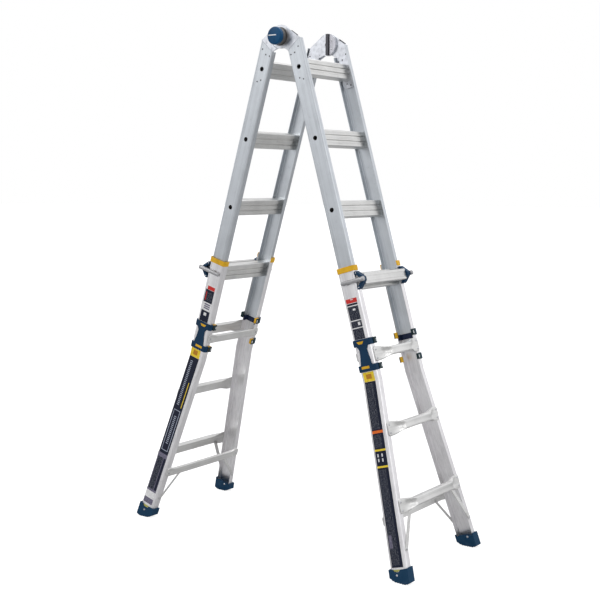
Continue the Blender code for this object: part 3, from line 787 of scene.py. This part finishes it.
def guide_details(tag, where):
    """Amber windows in the guide's bands, amber glide pads, dark clips and small pale marks."""
    half, side = HALVES[tag], SIDES[where]
    face = OUTER["web"] + GAP + 0.0040
    windows, pads, clips, marks = (bmesh.new() for _ in range(4))
    for (n0, n1, n2, n3), s0, s1 in (((-0.022, 0.012, 0.004, -0.014), 1.3085, 1.3190),
                                     ((-0.025, 0.013, 0.013, -0.025), 1.4100, 1.4205)):
        slab(windows, half, side, [(n0, s0), (n1, s0), (n2, s1), (n3, s1)], face - 0.001, face + 0.0006)
    for top, bottom in GUIDE_BANDS:
        middle = (top + bottom) / 2
        hook = [(0.0403, 0.1628), (0.0403, 0.1503), (0.0340, 0.1503), (0.0340, 0.1438),
                (0.0462, 0.1438), (0.0462, 0.1628)]
        grip = [(max(n, 0.0375), y) for n, y in hook]
        plate = [(0.0464, 0.1640), (0.0464, 0.1425), (0.0498, 0.1425), (0.0498, 0.1640)]
        for bm, sign, outline in ((pads, -1, hook), (clips, 1, grip), (clips, -1, plate), (clips, 1, plate)):
            loft(bm, [[spot(half, side, sign * n, y, s) for n, y in outline]
                      for s in (top + 0.001, bottom - 0.001)])
        for sign in (-1, 1):
            start, end = middle - 0.0060, middle + 0.0060
            chip = [(0.1445, start), (0.1490, start), (0.1505, end), (0.1445, end)]
            loft(marks, [[spot(half, side, sign * n, y, s) for y, s in chip] for n in (0.0490, 0.0502)])
    body = f"outer_{tag}"
    piece(f"{body}_guide_windows_{where}", windows, body, "amber", 0.0003)
    piece(f"{body}_guide_pads_{where}", pads, body, "amber", 0.0007)
    piece(f"{body}_guide_clips_{where}", clips, body, "clip", 0.0007)
    piece(f"{body}_guide_marks_{where}", marks, body, "mark")


def chevron(tag, where):
    """The bracket that stands off the front flange, with two arms and an open middle."""
    half, side = HALVES[tag], SIDES[where]
    face, tip = OUTER["half_depth"] + GAP, 0.079
    upper = [(face, -0.0375), (0.0485, -0.0375), (0.0560, -0.0310), (0.0740, -0.0125), (tip, -0.0075)]
    inner = [(face, 0.0235), (0.0470, 0.0225), (0.0580, 0.0105), (0.0620, 0.0050)]
    outline = upper + [(n, -s) for n, s in reversed(upper)] + inner + [(n, -s) for n, s in reversed(inner)]
    bm = bmesh.new()
    slab(bm, half, side, [(n, LOCK_LEVEL + s) for n, s in outline], 0.158, 0.182)
    made = piece(f"outer_{tag}_bracket_{where}", bm, f"outer_{tag}", "navy", 0.0018, 35.0, 3)
    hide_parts(f"outer_{tag}_chevron_{where}")
    places = [(spot(half, side, 0.0470, 0.182, LOCK_LEVEL + up), Vector((0, side, 0)))
              for up in (-0.030, 0.030)]
    rivets(f"outer_{tag}_bracket_rivets_{where}", f"outer_{tag}", places, 0.0032, 0.0014)


def lever(tag, where):
    """The lock lever: a round bar across the web whose pin reaches through the rail."""
    half, side = HALVES[tag], SIDES[where]
    low, high, radius, middle = -0.0300, 0.0880, 0.0085, 0.1885
    steps = 20
    rings = []
    blunt = [(0.0, 0.35), (0.0008, 0.66), (0.0025, 0.88), (0.0060, 1.0)]
    bulb = [(0.0300, 1.0), (0.0150, 1.12), (0.0060, 1.16), (0.0025, 1.02), (0.0008, 0.72), (0.0, 0.35)]
    stations = [(low + a, share) for a, share in blunt] + [(high - a, share) for a, share in bulb]
    for n, share in stations:
        turns = [2 * math.pi * i / steps for i in range(steps)]
        rings.append([
            spot(half, side, n, middle + radius * 0.82 * share * math.cos(a),
                 LOCK_LEVEL + radius * share * math.sin(a))
            for a in turns
        ])
    bm = bmesh.new()
    loft(bm, rings)
    slab(bm, half, side, circle((0.0, LOCK_LEVEL), 0.0070, 16), 0.1774, 0.1860)
    made = piece(f"lever_{tag}_bar_{where}", bm, f"lever_{tag}_{where}", "lever")
    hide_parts(f"lock_lever_{tag}_{where}")
    places = [(spot(half, side, 0.0710, middle + radius * 0.8, LOCK_LEVEL), Vector((0, side, 0)))]
    rivets(f"lever_{tag}_pivot_{where}", f"lever_{tag}_{where}", places, 0.0045, 0.0016)


def label(tag, name, blocks):
    """Flat coloured blocks on a near rail's web, with no lettering. A block is (finish, n0, n1, s0, s1)."""
    half, side = HALVES[tag], SIDES["near"]
    levels = []
    for i, (finish, n0, n1, s0, s1) in enumerate(blocks):
        under = [level for level, (_, a0, a1, b0, b1) in zip(levels, blocks)
                 if a0 < n1 and n0 < a1 and b0 < s1 and s0 < b1]
        levels.append(1 + max(under, default=0))
        layer = 0.00018 + 0.00014 * levels[i]
        stations = [s0] + [BEND] * (s0 < BEND < s1) + [s1]
        bm = bmesh.new()
        rings = []
        for s in stations:
            y = OUTER["web"] + flare(s)
            rings.append([spot(half, side, n, y + up, s) for n, up in
                          ((n0, -0.0002), (n1, -0.0002), (n1, layer), (n0, layer))])
        loft(bm, rings)
        piece(f"outer_{tag}_label_{name}_{i + 1}", bm, f"outer_{tag}", finish)


def dashes(finish, n0, n1, first, last, count, filled=0.66):
    """A column of short bars."""
    step = (last - first) / count
    return [(finish, n0, n1, first + i * step, first + (i + filled) * step) for i in range(count)]


def outline_bars(finish, n0, n1, s0, s1, width=0.0028):
    """A thin frame."""
    return [(finish, n0, n0 + width, s0, s1), (finish, n1 - width, n1, s0, s1),
            (finish, n0 + width, n1 - width, s0, s0 + width),
            (finish, n0 + width, n1 - width, s1 - width, s1)]


def build_labels():
    label("right", "upper", [
        ("label_white", -0.0300, 0.0240, 1.1270, 1.2990),
        ("label_red", -0.0300, 0.0240, 1.1300, 1.1480),
        ("label_dark", -0.0290, 0.0230, 1.1500, 1.1580),
        ("label_lined", -0.0290, 0.0230, 1.1620, 1.2190),
        ("label_lined", -0.0290, 0.0230, 1.2230, 1.2500),
        ("label_lined", -0.0290, 0.0230, 1.2540, 1.2985),
        ("label_white", -0.0080, 0.0060, 1.1330, 1.1360),
        ("label_white", -0.0060, 0.0070, 1.1720, 1.1800),
        ("label_white", 0.0040, 0.0150, 1.2290, 1.2420),
    ])
    label("right", "lower", [
        ("label_dark", -0.0290, 0.0235, 1.4740, 2.2040),
        ("label_yellow", -0.0290, 0.0235, 1.4345, 1.4735),
        ("label_ochre", -0.0160, 0.0110, 1.4430, 1.4630),
        ("label_lined", -0.0270, 0.0120, 1.4800, 1.6650),
        ("label_orange", -0.0290, 0.0235, 1.6700, 1.6810),
        ("label_lined", -0.0270, 0.0120, 1.6860, 1.7380),
        ("label_yellow", -0.0290, 0.0235, 1.7440, 1.7515),
        ("label_yellow", -0.0290, 0.0235, 1.8100, 1.8175),
        ("label_lined", -0.0270, 0.0120, 1.8240, 2.1950),
        ("label_violet", -0.0250, -0.0100, 2.0800, 2.1300),
    ] + dashes("label_white", -0.0200, -0.0140, 1.7620, 1.8000, 2)
      + dashes("label_white", 0.0000, 0.0060, 1.7620, 1.8000, 2))
    label("left", "upper", [
        ("label_white", -0.0230, 0.0290, 1.1280, 1.2990),
        ("label_red", -0.0220, 0.0200, 1.1310, 1.1480),
        ("label_dark", -0.0220, 0.0280, 1.1490, 1.2080),
        ("label_red", 0.0180, 0.0220, 1.1600, 1.2000),
        ("label_lined", -0.0160, 0.0150, 1.1600, 1.2000),
        ("label_dark", -0.0220, 0.0280, 1.2470, 1.2985),
        ("label_white", -0.0050, 0.0110, 1.2560, 1.2700),
    ] + dashes("label_violet", -0.0150, 0.0180, 1.2140, 1.2420, 3))
    label("left", "lower", [
        ("label_dark", -0.0210, 0.0350, 1.4755, 1.9500),
        ("label_yellow", -0.0210, 0.0350, 1.4345, 1.4750),
        ("label_ochre", -0.0060, 0.0190, 1.4420, 1.4640),
        ("label_violet", -0.0210, 0.0350, 1.9500, 2.1400),
        ("label_white", -0.0210, 0.0350, 2.1430, 2.1720),
        ("label_violet", -0.0210, 0.0350, 2.1740, 2.2000),
        ("label_yellow", -0.0110, -0.0070, 1.5950, 1.7200),
        ("label_dark", -0.0190, -0.0060, 1.9700, 2.1300),
        ("label_lined", -0.0020, 0.0300, 1.9700, 2.1300),
    ] + dashes("label_pale", 0.0080, 0.0210, 1.4950, 1.7150, 26, 0.40)
      + outline_bars("label_pale", -0.0130, 0.0260, 1.7350, 1.9350)
      + dashes("label_pale", 0.0000, 0.0130, 1.7650, 1.9050, 16, 0.40))


FOOT_TOP = 2.209
FOOT_DEEP = 0.0447


def floor_s(n):
    """How far down the rails the floor lies."""
    return (HINGE_Z + (RAIL_N + n) * SIN) / COS


def foot_outline():
    """A foot's side view as (n, s) points: a level sole that rises at both ends, cut by fine treads."""
    outline = [(-FOOT_DEEP, FOOT_TOP), (-0.015, FOOT_TOP + 0.003),
               (0.015, FOOT_TOP + 0.003), (FOOT_DEEP, FOOT_TOP)]
    steps = 32
    for i in range(steps + 1):
        n = FOOT_DEEP * (1 - 2 * i / steps)
        rise = 0.011 * (max(0.0, abs(n) - 0.0177) / 0.027) ** 1.7
        tread = 0.0017 if i % 4 in (1, 2) and abs(n) < 0.040 else 0.0
        outline.append((n, floor_s(n) - rise - tread))
    return outline


def flared_slab(bm, half, side, outline, low, high):
    """A slab that leans out with the outer rail."""
    loft(bm, [[spot(half, side, n, y + flare(s), s) for n, s in outline] for y in (low, high)])


def foot(tag, where):
    """A rubber shoe: a scoop in its outer wall, a domed inner wall, rivets and a small wear mark."""
    half, side = HALVES[tag], SIDES[where]
    web, flange = OUTER["web"], OUTER["flange"]
    middle = -0.0075 * half
    bm = bmesh.new()
    flared_slab(bm, half, side, foot_outline(), web - flange - 0.006, web + 0.006)
    made = piece(f"outer_{tag}_shoe_{where}", bm, f"outer_{tag}", "rubber")
    cut = bmesh.new()
    clear = OUTER["half_depth"] + GAP
    pocket = [(-clear, 2.15), (clear, 2.15), (clear, OUTER_END + GAP), (-clear, OUTER_END + GAP)]
    flared_slab(cut, half, side, pocket, web - flange - GAP, web + GAP)
    carve(made, cut)
    cut = bmesh.new()
    scoop = [(middle + 0.0175 * math.cos(a), FOOT_TOP + 0.001 + 0.0115 * math.sin(a))
             for a in [math.pi * i / 16 for i in range(17)]]
    flared_slab(cut, half, side, [(middle - 0.0175, 2.19), (middle + 0.0175, 2.19)] + scoop,
                web + 0.0001, web + 0.02)
    dome_edge = [(clear * (1 - i / 6), FOOT_TOP + 0.0025 + 0.008 * (1 - i / 6) ** 2) for i in range(13)]
    flared_slab(cut, half, side, [(-clear, 2.15), (clear, 2.15)] + dome_edge,
                web - flange - 0.02, web - flange)
    carve(made, cut)
    soften(made, 0.0012)
    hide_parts(f"outer_{tag}_foot_{where}")
    arc_mark = bmesh.new()
    sliver = [(middle + 0.0160 * math.cos(a), FOOT_TOP + 0.0105 * math.sin(a) ** 0.8)
              for a in [math.pi * (1 + i) / 18 for i in range(17)]]
    flared_slab(arc_mark, half, side, sliver, web + GAP, web + 0.0030)
    piece(f"outer_{tag}_wear_mark_{where}", arc_mark, f"outer_{tag}", "olive", 0.0006)
    places = [(spot(half, side, middle, web + 0.006 + flare(2.233), 2.233), aim(half, side, 0, 1, 0)),
              (spot(half, side, 0.015 * half, web - flange - 0.006 + flare(2.222), 2.222),
               aim(half, side, 0, -1, 0))]
    rivets(f"outer_{tag}_foot_rivets_{where}", f"outer_{tag}", places, 0.0050, 0.0026)


def build_fittings():
    for tag, where in EACH:
        end_cap(tag, where)
        guide(tag, where)
        guide_details(tag, where)
        chevron(tag, where)
        lever(tag, where)
        foot(tag, where)
    build_labels()


# CAD nodes that stay

def finish_of_node(name):
    """Only the hinge plates, spring housings and lock bars are shown as the CAD has them."""
    if "lock_bar" in name:
        return "dark_steel"
    return "steel" if "plate" in name else "zinc"


def dress_nodes():
    for name, node in frame["nodes"].items():
        if node.hide_render:
            continue
        for i in range(max(1, len(node.material_slots))):
            if node.material_slots:
                node.material_slots[i].material = FINISHES[finish_of_node(name)]
            else:
                node.data.materials.append(FINISHES[finish_of_node(name)])
        if "foot" in name or "plate" in name:
            weld = node.modifiers.new("weld", "WELD")
            weld.merge_threshold = 1e-5
            soften(node, 0.0018 if "foot" in name else 0.0005)


# Stage, light and camera

SKY_STOPS = ((0.0, 1.0), (0.25, 0.85), (0.50, 0.62), (0.75, 0.80), (1.0, 1.0))
SKY_BRIGHT_SIDE = Vector((0.55, 0.70, 0.45)).normalized()


def studio():
    """A white backdrop for the camera. The ladder itself sees a grey room, bright on its far right."""
    world = bpy.data.worlds.new("studio")
    bpy.context.scene.world = world
    world.use_nodes = True
    nodes, links = world.node_tree.nodes, world.node_tree.links
    place = nodes.new("ShaderNodeTexCoord")
    towards = nodes.new("ShaderNodeVectorMath")
    towards.operation = "DOT_PRODUCT"
    towards.inputs[1].default_value = SKY_BRIGHT_SIDE
    links.new(place.outputs["Generated"], towards.inputs[0])
    rise = nodes.new("ShaderNodeMapRange")
    rise.inputs[1].default_value = -1.0
    links.new(towards.outputs["Value"], rise.inputs[0])
    sky = nodes.new("ShaderNodeValToRGB")
    while len(sky.color_ramp.elements) < len(SKY_STOPS):
        sky.color_ramp.elements.new(0.5)
    for element, (position, level) in zip(sky.color_ramp.elements, SKY_STOPS):
        element.position = position
        element.color = (level, level, level * 1.02, 1.0)
    links.new(rise.outputs[0], sky.inputs[0])
    path = nodes.new("ShaderNodeLightPath")
    seen = nodes.new("ShaderNodeMix")
    seen.data_type = "RGBA"
    links.new(path.outputs["Is Camera Ray"], seen.inputs[0])
    links.new(sky.outputs[0], seen.inputs[6])
    seen.inputs[7].default_value = (1.0, 1.0, 1.0, 1.0)
    links.new(seen.outputs[2], nodes["Background"].inputs[0])
    bpy.context.scene.view_settings.view_transform = "Standard"


def soft_light(name, place, size, power, target=(0.0, 0.0, 1.0)):
    light = bpy.data.lights.new(name, "AREA")
    light.shape = "DISK"
    light.size = size
    light.energy = power
    made = bpy.data.objects.new(name, light)
    made.location = place
    made.rotation_euler = (Vector(target) - Vector(place)).to_track_quat("-Z", "Y").to_euler()
    bpy.context.scene.collection.objects.link(made)


def floor():
    """A pale paper sweep. It glows a little, so that it meets the white backdrop without an edge."""
    bm = bmesh.new()
    bmesh.ops.create_circle(bm, cap_ends=True, segments=96, radius=60.0)
    mesh = bpy.data.meshes.new("floor")
    bm.to_mesh(mesh)
    bm.free()
    made = bpy.data.objects.new("floor", mesh)
    made.location.z = -0.0002
    pale = Finish("pale_floor", 0.9, 0.0, Specular_IOR_Level=0.1)
    path = pale.add("ShaderNodeLightPath").outputs["Is Camera Ray"]
    clouds = pale.noise(pale.place, 0.6, 2.0)
    paper = pale.ramp(clouds, (0.3, (0.47, 0.47, 0.47)), (0.7, (0.50, 0.50, 0.50)))
    pale.shader.inputs["Emission Color"].default_value = (1.0, 1.0, 1.0, 1.0)
    pale.feed(pale.shader.inputs["Emission Strength"], pale.math("MULTIPLY", path, 0.80))
    mesh.materials.append(pale.finish(paper))
    bpy.context.scene.collection.objects.link(made)


def camera():
    yaw, pitch, roll = math.radians(36.6228), math.radians(-6.3227), math.radians(0.4191)
    forward = Vector((-math.sin(yaw) * math.cos(pitch), math.cos(yaw) * math.cos(pitch), math.sin(pitch)))
    lens = bpy.data.cameras.new("camera")
    lens.sensor_width = 36.0
    lens.lens = 65.635
    made = bpy.data.objects.new("camera", lens)
    turn = forward.to_track_quat("-Z", "Y") @ Quaternion((0.0, 0.0, 1.0), roll)
    made.location = (2.8372, -3.8427, 1.5684)
    made.rotation_euler = turn.to_euler()
    bpy.context.scene.collection.objects.link(made)
    bpy.context.scene.camera = made


camera()
studio()
floor()
soft_light("key", (-3.2, -4.5, 5.0), 2.0, 60)
soft_light("fill", (5.5, -1.0, 3.2), 3.0, 30)
soft_light("top", (0.5, 1.5, 6.0), 4.0, 70)
build_rails_and_rungs()
build_hinges()
build_fittings()
dress_nodes()
